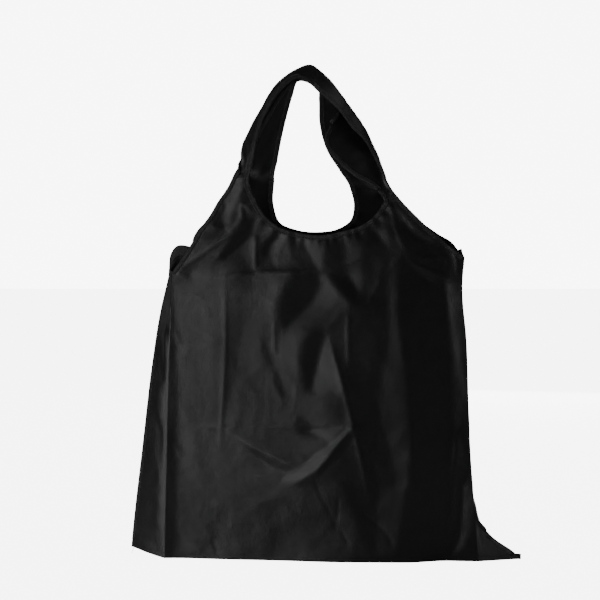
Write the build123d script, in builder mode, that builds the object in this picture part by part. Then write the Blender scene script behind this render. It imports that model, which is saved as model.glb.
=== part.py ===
"""Foldable shopping tote: two cloth panels with pressed side creases, a folded base and two straps.

The bag stands on its base.  +Z is up, -Y is the front, and the origin is the middle of the base.
Every cloth piece is a thin plate.  The plates meet at fold lines, which are the hinge axes:
the sides open outward, the base tucks up between the panels, and the back comes to the front.
"""

from build123d import *
import os
from math import cos, hypot, radians, sin

os.makedirs("parts", exist_ok=True)

# Driving dimensions, in millimetres and degrees
seam_width = 472.0  # the bottom seam, from tip to tip of the corner folds
overall_height = 600.0  # base to the top of the gathered straps
fold_half_width = 187.0  # centre of the bag to a side crease, on the inner face
fold_half_depth = 44.0  # centre of the bag to a panel's inner face
side_height = 350.0  # base to the top hem of a side
cloth = 1.0  # plate that stands for the layers of cloth
gap = 0.3  # clearance between plates that fold on each other
base_end_gap = 1.0  # extra room at the rear edge of the base, which is the opened fold
binding_width = 6.0  # finished width of the folded tape
binding_thickness = 1.8  # tape folded round the cloth
hem_depth = 14.0  # turned-in hem along the top of a side
hem_thickness = 1.6
strap_thickness = 4.0  # the strap's cloth, bunched lengthwise
strap_binding_share = 0.14  # part of the bunched width that each strap binding takes
strap_lean = 16.0  # how far each strap leans in to the shared crown
seam_allowance = 6.0
seam_offset = 3.0  # from the fold line to the seam allowance
corner_fold_height = 39.0  # where a corner fold leaves the side crease
corner_tip_height = 8.0
corner_shoulder_reach = 0.45  # how far along a corner fold its hollow lies
corner_shoulder_height = 21.5
pocket_width, pocket_height, pocket_top = 150.0, 130.0, 384.0
pocket_thickness = 1.2

# The strap seams lie on one sloping line, because the left shoulder is pulled up further
seam_left = (-96.0, 469.0)
seam_right = (71.0, 448.0)
seam_slope = (seam_right[1] - seam_left[1]) / (seam_right[0] - seam_left[0])


def seam_height(x):
    """Height of the strap seam line at x."""
    return seam_left[1] + (x - seam_left[0]) * seam_slope


# Front outlines (x, z): from a strap seam along each bound edge
front_left_armhole = [(-107, seam_height(-107) - gap), (-117, 449), (-137, 418), (-158, 386),
                      (-fold_half_width + gap, 345)]
front_right_armhole = [(81, seam_height(81) - gap), (96, 431), (130, 402), (160, 383),
                       (fold_half_width - gap, 366)]
front_neck = [(-84, seam_height(-84) - gap), (-80, 440), (-60, 409), (-5, 393), (40, 406),
              (53, 430), (56, seam_height(56) - gap)]
# Back outlines: the shoulders are spread to their full width
back_left_armhole = [(-107, seam_height(-107) - gap), (-120, 451), (-146, 412), (-164, 392),
                     (-fold_half_width + gap, 384)]
back_right_armhole = [(81, seam_height(81) - gap), (100, 435), (131, 412), (160, 394),
                      (fold_half_width - gap, 381)]
back_neck = [(-60, seam_height(-60) - gap), (-61, 440), (-50, 408), (-5, 395), (32, 406),
             (37, 430), (31, seam_height(31) - gap)]

# Straps as rungs across the bunched width: (inner point, outer point), left seam to right seam
front_rungs = [
    ((-84, seam_height(-84) + gap), (-107, seam_height(-107) + gap)),
    ((-83, 488), (-102, 491)),
    ((-77, 512), (-93, 516)),
    ((-64, 539), (-77, 544)),
    ((-52, 563), (-62, 570)),
    ((-37, 582), (-45, 590)),
    ((-18, 589), (-18, overall_height)),
    ((-5, 577), (3, 587)),
    ((5, 557), (15, 568)),
    ((20, 537), (34, 548)),
    ((31, 518), (47, 528)),
    ((43, 490), (60, 496)),
    ((53, 466), (72, 468)),
    ((56, seam_height(56) + gap), (81, seam_height(81) + gap)),
]
back_rungs = [
    ((-60, seam_height(-60) + gap), (-77, seam_height(-77) + gap)),
    ((-59, 486), (-75, 485)),
    ((-55, 511), (-69, 507)),
    ((-47, 538), (-56, 533)),
    ((-38, 555), (-44, 553)),
    ((-30, 563), (-33, 570)),
    ((-20, 566), (-19, 577)),
    ((-11, 558), (-7, 567)),
    ((-6, 541), (0, 547)),
    ((-2, 524), (13, 530)),
    ((5, 505), (24, 510)),
    ((19, 481), (35, 486)),
    ((30, 464), (44, 463)),
    ((31, seam_height(31) + gap), (47, seam_height(47) + gap)),
]


def inset(points, distance, shift_first, shift_last):
    """The curve's points moved sideways by distance; its two ends move by the shifts given."""
    moved = [(points[0][0] + shift_first[0], points[0][1] + shift_first[1])]
    for before, here, after in zip(points, points[1:], points[2:]):
        run, rise = after[0] - before[0], after[1] - before[1]
        length = hypot(run, rise)
        moved.append((here[0] - distance * rise / length, here[1] + distance * run / length))
    moved.append((points[-1][0] + shift_last[0], points[-1][1] + shift_last[1]))
    return moved


def along_seam(distance):
    """A shift of this distance along the strap seam line, which a bound edge ends on."""
    return (distance, distance * seam_slope)


def band(edge, inner_edge):
    """Outline of a strip of tape between two curves."""
    with BuildLine() as outline:
        Spline(*edge)
        Line(edge[-1], inner_edge[-1])
        Spline(*inner_edge)
        Line(inner_edge[0], edge[0])
    return outline


def panel_outline(left_armhole, neck, right_armhole):
    """Outline of a panel inside its bindings, from the bottom edge up."""
    left_foot = (-fold_half_width + gap, 0)
    right_foot = (fold_half_width - gap, 0)
    with BuildLine() as outline:
        Line(left_foot, right_foot)
        Line(right_foot, right_armhole[-1])
        Spline(*right_armhole)
        Line(right_armhole[0], neck[-1])
        Spline(*neck)
        Line(neck[0], left_armhole[0])
        Spline(*left_armhole)
        Line(left_armhole[-1], left_foot)
    return outline


def rail(rungs, share):
    """Points that lie this share of the way from the strap's inner to its outer edge."""
    return [
        (inner[0] + share * (outer[0] - inner[0]), inner[1] + share * (outer[1] - inner[1]))
        for inner, outer in rungs
    ]


def front_plane(y):
    """Upright plane at y: its x is the row's x, its y is the row's z, and it faces the front."""
    return Plane(origin=(0, y, 0), x_dir=(1, 0, 0), z_dir=(0, -1, 0))


def bound_edges(left_armhole, neck, right_armhole):
    """A panel's three bound edges, each with the same curve moved in by the tape's width."""
    down = (0, -binding_width)
    to_right = along_seam(binding_width)
    to_left = along_seam(-binding_width)
    return {
        "left_armhole": (left_armhole, inset(left_armhole, binding_width, to_right, down)),
        "neck": (neck, inset(neck, -binding_width, to_left, to_right)),
        "right_armhole": (right_armhole, inset(right_armhole, -binding_width, to_left, down)),
    }


def inner_edges(edges):
    """The inner curves of the three tapes, which the panel's cloth ends on."""
    return [inner_edge for edge, inner_edge in edges.values()]


front_edges = bound_edges(front_left_armhole, front_neck, front_right_armhole)
back_edges = bound_edges(back_left_armhole, back_neck, back_right_armhole)

# Panels, each a plate between its inner face and its outer face
with BuildPart() as front_panel:
    with BuildSketch(front_plane(-fold_half_depth)):
        with BuildLine():
            add(panel_outline(*inner_edges(front_edges)).line)
        make_face()
    extrude(amount=cloth)

with BuildPart() as back_panel:
    with BuildSketch(front_plane(fold_half_depth + cloth)):
        with BuildLine():
            add(panel_outline(*inner_edges(back_edges)).line)
        make_face()
    extrude(amount=cloth)

front_panel.part.label = "front_panel"
export_step(front_panel.part, "parts/front_panel.step")
back_panel.part.label = "back_panel"
export_step(back_panel.part, "parts/back_panel.step")

# Folded tape along each bound edge, standing proud of the cloth on both faces
tape_proud = (binding_thickness - cloth) / 2
for panel_name, edges, tape_front in (
    ("front", front_edges, -fold_half_depth + tape_proud),
    ("back", back_edges, fold_half_depth + cloth + tape_proud),
):
    for edge_name, (edge, inner_edge) in edges.items():
        with BuildPart() as binding:
            with BuildSketch(front_plane(tape_front)):
                with BuildLine():
                    add(band(edge, inner_edge).line)
                make_face()
            extrude(amount=binding_thickness)
        binding.part.label = f"{panel_name}_{edge_name}_binding"
        export_step(binding.part, f"parts/{binding.part.label}.step")

# Sides: a front strip and a rear strip, which fold on the side seam between them
strip_near = gap / 2  # from the side seam's fold line
strip_far = fold_half_depth - gap
strip_length = strip_far - strip_near
side_foot = cloth + gap
for side_name, side in (("left", -1), ("right", 1)):
    for strip_name, toward_rear in (("front", -1), ("rear", 1)):
        strip_centre = toward_rear * (strip_near + strip_far) / 2
        with BuildPart() as strip:
            with BuildSketch(Plane.XY.offset(side_foot)):
                with Locations((side * (fold_half_width + cloth / 2), strip_centre)):
                    Rectangle(cloth, strip_length)
            extrude(amount=side_height - hem_depth - side_foot)
        strip.part.label = f"{side_name}_side_{strip_name}"
        export_step(strip.part, f"parts/{strip.part.label}.step")

        with BuildPart() as hem:
            with BuildSketch(Plane.XY.offset(side_height - hem_depth)):
                with Locations((side * (fold_half_width + hem_thickness / 2), strip_centre)):
                    Rectangle(hem_thickness, strip_length)
            extrude(amount=hem_depth)
        hem.part.label = f"{side_name}_side_{strip_name}_hem"
        export_step(hem.part, f"parts/{hem.part.label}.step")

    with BuildPart() as side_seam:
        with BuildSketch(Plane.XY.offset(side_foot)):
            with Locations((side * (fold_half_width - cloth / 2), -seam_offset - seam_allowance / 2)):
                Rectangle(cloth, seam_allowance)
        extrude(amount=side_height - 2 * side_foot)
    side_seam.part.label = f"{side_name}_side_seam"
    export_step(side_seam.part, f"parts/{side_seam.part.label}.step")

# Base: the two strips folded under, and the bottom seam's allowance standing between them
base_width = 2 * (fold_half_width - cloth - gap - gap / 2)
base_front_end = -fold_half_depth + gap
base_rear_end = fold_half_depth - base_end_gap
for strip_name, near_end, far_end in (
    ("front", base_front_end, -gap / 2),
    ("rear", gap / 2, base_rear_end),
):
    with BuildPart() as base_strip:
        with BuildSketch():
            with Locations((0, (near_end + far_end) / 2)):
                Rectangle(base_width, far_end - near_end)
        extrude(amount=cloth)
    base_strip.part.label = f"base_{strip_name}"
    export_step(base_strip.part, f"parts/{base_strip.part.label}.step")

with BuildPart() as bottom_seam:
    with BuildSketch(Plane.XY.offset(cloth)):
        with Locations((0, -gap / 2 - cloth / 2)):
            Rectangle(base_width, cloth)
    extrude(amount=seam_allowance)
bottom_seam.part.label = "bottom_seam"
export_step(bottom_seam.part, "parts/bottom_seam.step")

# Corner folds: the bottom seam's ends, standing out past the side creases
corner_root = fold_half_width + cloth + gap
corner_tip = seam_width / 2
corner_face = fold_half_depth + cloth + gap
for corner_name, side, corner_front in (
    ("right", 1, -corner_face),
    ("left", -1, corner_face + cloth),
):
    root, tip = side * corner_root, side * corner_tip
    shoulder = (root + corner_shoulder_reach * (tip - root), corner_shoulder_height)
    with BuildPart() as corner_fold:
        with BuildSketch(front_plane(corner_front)):
            with BuildLine():
                Line((root, 0), (tip, 0))
                Line((tip, 0), (tip, corner_tip_height))
                Spline((tip, corner_tip_height), shoulder, (root, corner_fold_height))
                Line((root, corner_fold_height), (root, 0))
            make_face()
        extrude(amount=cloth)
    corner_fold.part.label = f"{corner_name}_corner_fold"
    export_step(corner_fold.part, f"parts/{corner_fold.part.label}.step")

# Stow pocket, sewn flat inside the back panel, with a bound mouth
pocket_face = fold_half_depth
mouth = pocket_top - binding_width
with BuildPart() as stow_pocket:
    with BuildSketch(front_plane(pocket_face)):
        with Locations((0, mouth - pocket_height / 2)):
            Rectangle(pocket_width, pocket_height)
    extrude(amount=pocket_thickness)
stow_pocket.part.label = "stow_pocket"
export_step(stow_pocket.part, "parts/stow_pocket.step")

with BuildPart() as stow_pocket_binding:
    with BuildSketch(front_plane(pocket_face)):
        with Locations((0, mouth + binding_width / 2)):
            Rectangle(pocket_width, binding_width)
    extrude(amount=binding_thickness)
stow_pocket_binding.part.label = "stow_pocket_binding"
export_step(stow_pocket_binding.part, "parts/stow_pocket_binding.step")

# Straps: each outline seen from the front, cut from a slab that leans in from its seam line
seam_direction = Vector(seam_right[0] - seam_left[0], 0, seam_right[1] - seam_left[1]).normalized()
seam_up = Vector(-seam_direction.Z, 0, seam_direction.X)
slab_size = 2 * overall_height
for strap_name, rungs, toward_rear in (("front", front_rungs, -1), ("back", back_rungs, 1)):
    # The slab's outer face holds the hinge axis, just outside the panel's outer face
    outward = Vector(0, toward_rear, 0)
    face_normal = outward * cos(radians(strap_lean)) + seam_up * sin(radians(strap_lean))
    hinge_point = (seam_left[0], toward_rear * (fold_half_depth + cloth + gap), seam_left[1])
    outer_face = Plane(origin=hinge_point, x_dir=seam_direction, z_dir=face_normal)
    for piece_name, low_share, high_share in (
        ("strap_inner_binding", 0, strap_binding_share),
        ("strap", strap_binding_share, 1 - strap_binding_share),
        ("strap_outer_binding", 1 - strap_binding_share, 1),
    ):
        with BuildPart() as strap_piece:
            with BuildSketch(Plane.XZ):
                with BuildLine():
                    add(band(rail(rungs, high_share), rail(rungs, low_share)).line)
                make_face()
            extrude(amount=overall_height, both=True)
            with BuildSketch(outer_face):
                Rectangle(slab_size, slab_size)
            extrude(amount=-strap_thickness, mode=Mode.INTERSECT)
        strap_piece.part.label = f"{strap_name}_{piece_name}"
        export_step(strap_piece.part, f"parts/{strap_piece.part.label}.step")
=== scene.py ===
"""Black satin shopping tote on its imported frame: cloth sheets, folded tape, stitches, light and camera."""

import math

import bmesh
import bpy
import numpy as np
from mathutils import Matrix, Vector, noise
from mathutils.geometry import delaunay_2d_cdt


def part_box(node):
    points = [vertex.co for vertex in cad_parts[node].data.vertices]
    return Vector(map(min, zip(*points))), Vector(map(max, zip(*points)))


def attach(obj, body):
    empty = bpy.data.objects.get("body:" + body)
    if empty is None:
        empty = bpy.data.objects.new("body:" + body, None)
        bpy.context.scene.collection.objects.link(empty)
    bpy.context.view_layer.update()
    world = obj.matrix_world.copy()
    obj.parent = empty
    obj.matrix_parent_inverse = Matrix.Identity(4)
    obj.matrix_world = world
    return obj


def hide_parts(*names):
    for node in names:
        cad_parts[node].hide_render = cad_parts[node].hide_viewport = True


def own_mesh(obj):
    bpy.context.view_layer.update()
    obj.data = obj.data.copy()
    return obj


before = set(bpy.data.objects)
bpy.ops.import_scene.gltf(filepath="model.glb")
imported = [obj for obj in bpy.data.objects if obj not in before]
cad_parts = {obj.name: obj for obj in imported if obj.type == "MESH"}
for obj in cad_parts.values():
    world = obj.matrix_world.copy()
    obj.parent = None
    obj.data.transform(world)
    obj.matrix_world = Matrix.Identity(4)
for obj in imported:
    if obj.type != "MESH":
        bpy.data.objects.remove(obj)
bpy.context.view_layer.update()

MM = 0.001  # shapes below are written in millimetres, and the meshes are in metres

# Places taken from the frame
CREASE_SETBACK = 6.5  # the cloth swells out between its creases, so they lie a little inside the plates
FRONT_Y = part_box("front_panel")[0].y / MM + CREASE_SETBACK
BACK_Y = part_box("back_panel")[1].y / MM - CREASE_SETBACK

CLOTH_SPACING = 3.6  # distance between a sheet's points
PANEL_SPACING = 2.8
EDGE_SPACING = 3.0
CLOTH_THICKNESS = 0.35
TAPE_WIDTH = 5.4
ARMHOLE_TAPE_WIDTH = 4.6
TAPE_THICKNESS = 1.5
HEM_WIDTH = 13.0
SHARP_ANGLE = math.radians(55)  # a sheet's rim is sharp, and its folds are smooth
FAR = 1e9
STITCH_LENGTH = 2.6
STITCH_PITCH = 3.6
STITCH_LINE = 0.72  # where the stitches lie, as a share of the tape's width
STITCH_LEVEL = 0.36  # how far they stand out from the tape's middle, as a share of its thickness
STITCH_BOW = 0.22
THREAD_RADII = (0.32, 0.26)
PUCKER = 0.35  # how much a tape's thickness changes along it


# ---- curves and sheets


def at_places(want, known, rows):
    """Rows between the rows that are known, at the places wanted."""
    return np.stack([np.interp(want, known, column) for column in rows.T], axis=-1)


def lengths(path):
    """How far along a path each of its points is."""
    return np.concatenate([[0], np.cumsum(np.linalg.norm(np.diff(path, axis=0), axis=1))])


def through(points, spacing=EDGE_SPACING, count=None):
    """Evenly spaced points on a smooth curve through the points given."""
    p = np.array(points, float)
    if len(p) == 2:
        dense = np.linspace(p[0], p[1], 50)
    else:
        step = np.linalg.norm(np.diff(p, axis=0), axis=1)
        slope = np.diff(p, axis=0) / step[:, None]
        tangent = np.empty_like(p)
        tangent[0], tangent[-1] = slope[0], slope[-1]
        tangent[1:-1] = (slope[:-1] * step[1:, None] + slope[1:] * step[:-1, None]) / (
            step[:-1, None] + step[1:, None]
        )
        dense = []
        for i, length in enumerate(step):
            t = np.linspace(0, 1, 24, endpoint=i == len(step) - 1)[:, None]
            dense.append(
                (2 * t**3 - 3 * t**2 + 1) * p[i]
                + (t**3 - 2 * t**2 + t) * length * tangent[i]
                + (3 * t**2 - 2 * t**3) * p[i + 1]
                + (t**3 - t**2) * length * tangent[i + 1]
            )
        dense = np.concatenate(dense)
    along = lengths(dense)
    if count is None:
        count = max(2, int(round(along[-1] / spacing)) + 1)
    return at_places(np.linspace(0, along[-1], count), along, dense)


def inside(points, loop):
    """Which points lie inside a closed loop."""
    x, z = points[:, 0], points[:, 1]
    within = np.zeros(len(points), bool)
    for (x1, z1), (x2, z2) in zip(loop, np.roll(loop, -1, axis=0)):
        crosses = (z1 > z) != (z2 > z)
        if z1 != z2:
            within ^= crosses & (x < (x2 - x1) * (z - z1) / (z2 - z1) + x1)
    return within


def nearest(points, path):
    """Distance to a path, and how far along it the nearest place is, as a share of its length."""
    best = np.full(len(points), FAR)
    along = np.zeros(len(points))
    start = 0.0
    for a, b in zip(path[:-1], path[1:]):
        d = b - a
        length = np.hypot(*d)
        t = np.clip(((points - a) @ d) / length**2, 0, 1)
        gap = points - (a + t[:, None] * d)
        r = np.hypot(gap[:, 0], gap[:, 1])
        closer = r < best
        best = np.where(closer, r, best)
        along = np.where(closer, start + t * length, along)
        start += length
    return best, along / start


def flat_mesh(loop, spacing=CLOTH_SPACING):
    """Triangles that fill a loop: its own points, and an even pattern inside it."""
    low, high = loop.min(0), loop.max(0)
    rows = np.arange(low[1], high[1], spacing * 0.866)
    grid = []
    for i, z in enumerate(rows):
        xs = np.arange(low[0] + (i % 2) * spacing / 2, high[0], spacing)
        grid.append(np.stack([xs, np.full(len(xs), z)], axis=1))
    grid = np.concatenate(grid)
    grid = grid[inside(grid, loop)]
    edge = np.vstack([loop, loop[:1]])
    grid = grid[nearest(grid, edge)[0] > 0.6 * spacing]
    points = np.vstack([loop, grid])
    verts, _, faces, *_ = delaunay_2d_cdt(
        [Vector(p) for p in points], [], [list(range(len(loop)))], 1, 1e-5
    )
    return np.array([tuple(v) for v in verts]), [tuple(f) for f in faces]


def smooth(t):
    t = np.clip(t, 0, 1)
    return t * t * (3 - 2 * t)


def pressed(points, lines):
    """How far sharp lines (half width, height, path) lift the cloth, at points (across, up)."""
    lift = np.zeros(len(points))
    for width, height, path in lines:
        d, along = nearest(points, through(path, 4.0))
        ends = smooth(along * 5) * smooth((1 - along) * 5)
        lift += height * ends * np.exp(-d / width)
    return lift


def ripple(points, scale, height, seed, stretch=(1.0, 1.0)):
    """Gentle unevenness of the cloth."""
    out = np.empty(len(points))
    for i, (x, z) in enumerate(points):
        place = Vector((x * stretch[0] / scale, z * stretch[1] / scale, seed))
        out[i] = noise.noise(place) + 0.5 * noise.noise(place * 2.1)
    return height * out


def crumple(points, scale, height, seed):
    """Small sharp-edged dents, as thin crisp cloth has after it was packed."""
    out = np.empty(len(points))
    for i, (x, z) in enumerate(points):
        place = Vector((x / scale, z / scale, seed))
        bend = noise.noise(place * 0.6) * 0.8
        out[i] = 1 - abs(noise.noise(place + Vector((bend, bend, 0)))) * 2.4
    return height * out


# ---- objects


def link(name, verts, faces):
    """An object made of these points, in millimetres, and faces."""
    mesh = bpy.data.meshes.new(name)
    mesh.from_pydata((np.array(verts) * MM).tolist(), [], faces)
    mesh.update()
    mesh.shade_smooth()
    obj = bpy.data.objects.new(name, mesh)
    bpy.context.collection.objects.link(obj)
    return obj


def thicken(obj):
    """Gives a sheet its two faces and applies it, so that the mesh is final."""
    solid = obj.modifiers.new("cloth", "SOLIDIFY")
    solid.thickness = CLOTH_THICKNESS * MM
    solid.offset = 0
    depsgraph = bpy.context.evaluated_depsgraph_get()
    final = bpy.data.meshes.new_from_object(obj.evaluated_get(depsgraph))
    obj.modifiers.clear()
    obj.data = final
    obj.data.shade_smooth()
    obj.data.set_sharp_from_angle(angle=SHARP_ANGLE)


def grid_faces(rows, columns, closed=False):
    """Faces between the points of a grid; a closed one joins its last column to its first."""
    faces = []
    for r in range(rows - 1):
        for c in range(columns if closed else columns - 1):
            d = (c + 1) % columns
            faces.append((r * columns + c, r * columns + d, (r + 1) * columns + d, (r + 1) * columns + c))
    return faces


def unit(v):
    """Each vector at a length of one."""
    return v / np.maximum(np.linalg.norm(v, axis=-1, keepdims=True), 1e-9)


def stitch(ends, face_side):
    """A short thread between two places (centre, inward, normal), which bows out in its middle."""
    rings = []
    wide, deep = THREAD_RADII
    for centre, inward, normal in ends:
        turns = [k * math.pi / 3 for k in range(6)]
        rings.append([centre + inward * wide * math.cos(a) + normal * deep * math.sin(a) for a in turns])
    bow = (ends[0][2] + ends[1][2]) / 2 * face_side * STITCH_BOW
    middle = [(first + last) / 2 + bow for first, last in zip(*rings)]
    caps = [tuple(range(6))[::-1], tuple(range(12, 18))]
    return np.array(rings[0] + middle + rings[1]), grid_faces(3, 6, closed=True) + caps


def tape(name, edge, inward, width=TAPE_WIDTH, thickness=TAPE_THICKNESS, stitched=True, square=True):
    """Tape folded over an edge: a flat tube with its stitches sunk along its inner side.

    A square tape lies at right angles to its edge, and any other lies just where inward points.
    """
    count = len(edge)
    run = unit(np.gradient(edge, axis=0))
    if square:
        inward = inward - run * (inward * run).sum(1, keepdims=True)
    inward = unit(inward)
    normal = unit(np.cross(run, inward))
    # cross-section: (share of the width, share of half the thickness)
    half = [(-0.04, 0.75), (0.12, 1.0), (0.45, 0.92), (0.72, 0.62), (0.84, 0.80), (1.0, 0.55)]
    section = [(-0.10, 0.0)] + half + [(across, -out) for across, out in half[::-1]]
    verts = np.empty((count, len(section), 3))
    for i in range(count):
        pucker = 1 + PUCKER * noise.noise(Vector(edge[i] / 7.0))
        for k, (across, out) in enumerate(section):
            verts[i, k] = edge[i] + inward[i] * across * width + normal[i] * out * thickness / 2 * pucker
    faces = grid_faces(count, len(section), closed=True)
    faces.append(tuple(range(len(section)))[::-1])
    faces.append(tuple((count - 1) * len(section) + k for k in range(len(section))))
    verts = verts.reshape(-1, 3)
    marks = [0] * len(faces)
    if stitched:
        along = lengths(edge)
        all_verts, at = [verts], len(verts)
        for start in np.arange(2.0, along[-1] - 4.0, STITCH_PITCH):
            for face_side in (1, -1):
                ends = []
                for reached in (start, start + STITCH_LENGTH):
                    i = min(int(np.searchsorted(along, reached)), count - 1)
                    place = at_places(reached, along, edge) + inward[i] * STITCH_LINE * width
                    centre = place + face_side * normal[i] * thickness * STITCH_LEVEL
                    ends.append((centre, inward[i], normal[i]))
                block, stitch_faces = stitch(ends, face_side)
                all_verts.append(block)
                faces += [tuple(at + k for k in face) for face in stitch_faces]
                marks += [1] * len(stitch_faces)
                at += len(block)
        verts = np.vstack(all_verts)
    obj = link(name, verts, faces)
    obj.data.materials.append(BINDING)
    obj.data.materials.append(THREAD)
    obj.data.polygons.foreach_set("material_index", marks)
    bm = bmesh.new()
    bm.from_mesh(obj.data)
    bmesh.ops.recalc_face_normals(bm, faces=bm.faces)
    bm.to_mesh(obj.data)
    bm.free()
    return obj


# ---- materials


def feed(tree, node, inputs):
    """Set a node's inputs: each is a value, or the socket that it comes from."""
    for key, value in inputs.items():
        if isinstance(value, bpy.types.NodeSocket):
            tree.links.new(value, node.inputs[key])
        else:
            node.inputs[key].default_value = value
    return node


def add_node(tree, kind, inputs):
    """A new shader node with these inputs."""
    return feed(tree, tree.nodes.new(f"ShaderNode{kind}"), inputs)


def maths(tree, operation, first, second):
    node = add_node(tree, "Math", {0: first, 1: second})
    node.operation = operation
    return node.outputs["Value"]


def mix(tree, first, second, factor, blend="MIX"):
    """The colour that two colours give together."""
    node = tree.nodes.new("ShaderNodeMix")
    node.data_type = "RGBA"
    node.blend_type = blend
    return feed(tree, node, {"A": first, "B": second, "Factor": factor}).outputs["Result"]


def soft_noise(tree, place, scale, detail=2):
    return add_node(tree, "TexNoise", {"Vector": place, "Scale": scale, "Detail": detail}).outputs["Fac"]


def ramp(tree, value, start, end, low, high, kind="LINEAR"):
    """From low where the value is at start to high where it is at end."""
    limits = {"From Min": start, "From Max": end, "To Min": low, "To Max": high}
    node = add_node(tree, "MapRange", {"Value": value, **limits})
    node.interpolation_type = kind
    return node.outputs["Result"]


def material(name):
    """A new material, its node tree, its shader, and the object's own coordinates and normal."""
    mat = bpy.data.materials.new(name)
    mat.use_nodes = True
    coords = add_node(mat.node_tree, "TexCoord", {}).outputs
    shader = mat.node_tree.nodes["Principled BSDF"]
    return mat, mat.node_tree, shader, coords["Object"], coords["Normal"]


def cloth_material(name, dark, light, roughness, weave_pitch, weave_depth):
    """Plain-woven shiny thread: two sets of fine ribs, slubs, and slow changes of colour and gloss."""
    mat, tree, shader, place, normal = material(name)
    patches = soft_noise(tree, place, 14, 5)
    gloss = ramp(tree, patches, 0, 1, roughness - 0.05, roughness + 0.08)

    # Slubs: thicker threads that run a long way up or across
    threads = []
    for stretch, seed in (((900, 900, 12), 3.0), ((12, 900, 900), 8.0)):
        mapping = add_node(tree, "Mapping", {"Scale": stretch, "Location": (seed,) * 3, "Vector": place})
        threads.append(soft_noise(tree, mapping.outputs["Vector"], 1.0))
    slubs = maths(tree, "MULTIPLY", *threads)
    colour = mix(tree, (*dark, 1), (*light, 1), patches)
    tint = mix(tree, colour, ramp(tree, slubs, 0.12, 0.38, 0.55, 1.6), 0.7, "MULTIPLY")

    # Weave: ribs across each axis, which fade where the cloth faces along that axis
    facing = add_node(tree, "SeparateXYZ", {"Vector": normal})
    rib_inputs = {"Vector": place, "Scale": 0.314 / weave_pitch, "Distortion": 0.6, "Detail Scale": 60}
    weave = slubs
    for axis in ("X", "Y", "Z"):
        rib = add_node(tree, "TexWave", rib_inputs)
        rib.bands_direction = axis
        square = maths(tree, "MULTIPLY", facing.outputs[axis], facing.outputs[axis])
        share = ramp(tree, square, 0.7, 0.25, 0, 1, "SMOOTHSTEP")
        weave = maths(tree, "ADD", weave, maths(tree, "MULTIPLY", rib.outputs["Fac"], share))
    bump = add_node(tree, "Bump", {"Height": weave, "Strength": weave_depth, "Distance": 0.0004})

    # Very small soft dents, with the weave on them
    dents = {"Height": soft_noise(tree, place, 55, 4), "Strength": 0.12, "Distance": 0.0012}
    relief = add_node(tree, "Bump", {"Normal": bump.outputs["Normal"], **dents})
    shader.inputs["Roughness"].default_value = roughness
    looks = {"Base Color": tint, "Roughness": gloss, "Normal": relief.outputs["Normal"]}
    feed(tree, shader, {**looks, "Specular IOR Level": 0.5, "Sheen Weight": 0.02, "Sheen Roughness": 0.4})
    return mat


CLOTH = cloth_material("satin_cloth", (0.0022, 0.0022, 0.0024), (0.0038, 0.0038, 0.0042), 0.36, 0.0009, 0.22)
BINDING = cloth_material("folded_tape", (0.002, 0.002, 0.0022), (0.0036, 0.0036, 0.004), 0.44, 0.0007, 0.35)
THREAD = cloth_material("thread", (0.006, 0.006, 0.0065), (0.011, 0.011, 0.012), 0.42, 0.0004, 0.4)

# ---- outlines, in (across, up)

# The edges of each panel; the straps are sewn on along the shoulders
FRONT = {
    "foot": [(-193, 5), (186, 1)],
    "left_crease": [(-193, 5), (-191, 90), (-188, 200), (-185, 290), (-183, 350)],
    "right_crease": [(186, 1), (181, 51), (174, 159), (170, 268), (165, 334), (167, 368)],
    "left_armhole": [(-183, 350), (-173, 363), (-158, 386), (-148, 403), (-137, 418), (-127, 435),
        (-117, 449), (-108, 467)],
    "right_armhole": [(82, 446), (96, 430), (114, 412), (130, 397), (150, 381), (167, 368)],
    "left_shoulder": [(-88, 473), (-108, 467)],
    "right_shoulder": [(82, 446), (61, 450)],
    "neck": [(61, 450), (67, 443), (71, 436), (66, 426), (57, 415), (44, 406), (22, 399), (-5, 394),
        (-32, 397), (-55, 404), (-72, 418), (-84, 438), (-91, 458), (-88, 473)],
}
BACK = {
    "foot": [(-188, 6), (188, 4)],
    "left_crease": [(-188, 6), (-184, 100), (-179, 200), (-171, 320), (-163, 378)],
    "right_crease": [(188, 4), (182, 100), (176, 200), (169, 330), (168, 375)],
    "left_armhole": [(-163, 378), (-162, 390), (-155, 402), (-145, 412), (-134, 430), (-121, 451),
        (-107, 470)],
    "right_armhole": [(81, 448), (96, 433), (115, 416), (131, 404), (144, 395), (160, 385), (168, 375)],
    "left_shoulder": [(-62, 464), (-107, 470)],
    "right_shoulder": [(81, 448), (33, 454)],
    "neck": [(33, 454), (38, 432), (34, 413), (18, 402), (-5, 398), (-35, 401), (-55, 410), (-63, 432),
        (-62, 464)],
}
# The edges in their order round a panel, with those that run the other way
ROUND = (
    ("foot", 1), ("right_crease", 1), ("right_armhole", -1), ("right_shoulder", 1),
    ("neck", 1), ("left_shoulder", 1), ("left_armhole", -1), ("left_crease", -1),
)

# ---- folds pressed and crumpled into the cloth

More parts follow.
